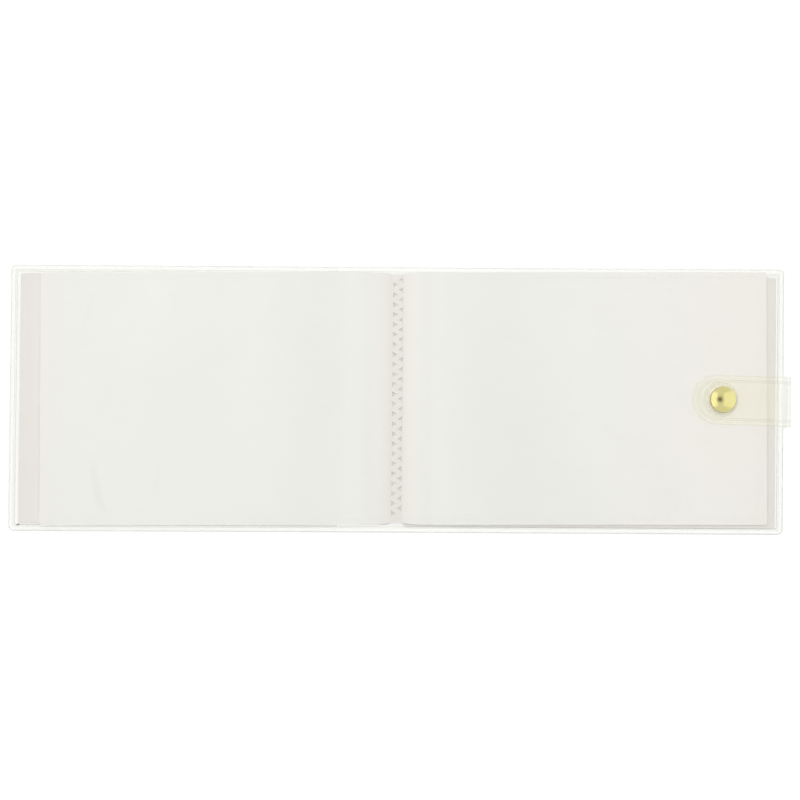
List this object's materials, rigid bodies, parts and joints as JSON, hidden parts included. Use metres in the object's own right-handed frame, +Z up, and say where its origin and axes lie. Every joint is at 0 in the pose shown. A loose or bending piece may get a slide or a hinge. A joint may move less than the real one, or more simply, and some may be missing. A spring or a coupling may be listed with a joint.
{
  "type": "pocket photo album",
  "caption": "Landscape pocket photo album lying open: clear vinyl cover with a snap strap, frosted pocket leaves welded along the gutter by a zigzag of small triangles.",
  "frame": {"origin": "on the table under the middle of the spine strip, at the middle of the cover's height", "axes": "+X towards the strap and the back cover's fore-edge, +Y towards the top of the pages, +Z up from the table"},
  "size_m": [0.291, 0.099, 0.0071],
  "materials": {
    "clear_vinyl": "clear soft vinyl, glossy",
    "strap_vinyl": "clear soft vinyl, two layers, faintly yellow",
    "frosted_film": "frosted polypropylene film, fine embossing",
    "fused_film": "fused polypropylene film",
    "end_leaf": "stiff opaque sheet, matt",
    "brass": "polished pale brass",
    "spring_steel": "drawn wire"
  },
  "bodies": {
    "back_half": {"back_cover": "clear_vinyl", "spine_strip": "clear_vinyl", "back_sleeve": "clear_vinyl", "back_end_leaf": "end_leaf", "right_leaf_1_upper_film": "frosted_film", "right_leaf_1_lower_film": "frosted_film", "right_leaf_2_upper_film": "frosted_film", "right_leaf_2_lower_film": "frosted_film", "right_leaf_3_upper_film": "frosted_film", "right_leaf_3_lower_film": "frosted_film", "right_leaf_4_upper_film": "frosted_film", "right_leaf_4_lower_film": "frosted_film", "right_leaf_5_upper_film": "frosted_film", "right_leaf_5_lower_film": "frosted_film", "right_leaf_6_upper_film": "frosted_film", "right_leaf_6_lower_film": "frosted_film", "binding_band": "fused_film"},
    "front_half": {"front_cover": "clear_vinyl", "front_sleeve": "clear_vinyl", "front_end_leaf": "end_leaf", "snap_stud": "brass", "snap_rivet": "brass"},
    "left_leaf_6": {"left_leaf_6_upper_film": "frosted_film", "left_leaf_6_lower_film": "frosted_film"},
    "left_leaf_5": {"left_leaf_5_upper_film": "frosted_film", "left_leaf_5_lower_film": "frosted_film"},
    "left_leaf_4": {"left_leaf_4_upper_film": "frosted_film", "left_leaf_4_lower_film": "frosted_film"},
    "left_leaf_3": {"left_leaf_3_upper_film": "frosted_film", "left_leaf_3_lower_film": "frosted_film"},
    "left_leaf_2": {"left_leaf_2_upper_film": "frosted_film", "left_leaf_2_lower_film": "frosted_film"},
    "left_leaf_1": {"left_leaf_1_upper_film": "frosted_film", "left_leaf_1_lower_film": "frosted_film"},
    "strap_riser": {"strap_web": "strap_vinyl"},
    "strap": {"strap_flap": "strap_vinyl", "strap_lining": "strap_vinyl", "snap_cap": "brass", "snap_socket": "brass", "snap_spring": "spring_steel"}
  },
  "joints": [
    {"name": "front_cover_hinge", "type": "hinge", "parent": "back_half", "child": "front_half", "pos_m": [0, 0, 0.00358], "axis": [0, 1, 0], "range_deg": [0, 177]},
    {"name": "left_leaf_6_turn", "type": "hinge", "parent": "front_half", "child": "left_leaf_6", "pos_m": [0, 0, 0.00358], "axis": [0, -1, 0], "range_deg": [-12, 0]},
    {"name": "left_leaf_5_turn", "type": "hinge", "parent": "left_leaf_6", "child": "left_leaf_5", "pos_m": [0, 0, 0.00358], "axis": [0, -1, 0], "range_deg": [-12, 0]},
    {"name": "left_leaf_4_turn", "type": "hinge", "parent": "left_leaf_5", "child": "left_leaf_4", "pos_m": [0, 0, 0.00358], "axis": [0, -1, 0], "range_deg": [-12, 0]},
    {"name": "left_leaf_3_turn", "type": "hinge", "parent": "left_leaf_4", "child": "left_leaf_3", "pos_m": [0, 0, 0.00358], "axis": [0, -1, 0], "range_deg": [-12, 0]},
    {"name": "left_leaf_2_turn", "type": "hinge", "parent": "left_leaf_3", "child": "left_leaf_2", "pos_m": [0, 0, 0.00358], "axis": [0, -1, 0], "range_deg": [-12, 0]},
    {"name": "left_leaf_1_turn", "type": "hinge", "parent": "left_leaf_2", "child": "left_leaf_1", "pos_m": [0, 0, 0.00358], "axis": [0, -1, 0], "range_deg": [-114, 0]},
    {"name": "strap_root_fold", "type": "hinge", "parent": "back_half", "child": "strap_riser", "pos_m": [0.14642, 0, 0.00017], "axis": [0, 1, 0], "range_deg": [0, 85]},
    {"name": "strap_top_fold", "type": "hinge", "parent": "strap_riser", "child": "strap", "pos_m": [0.14642, 0, 0.00548], "axis": [0, 1, 0], "range_deg": [0, 90]}
  ]
}
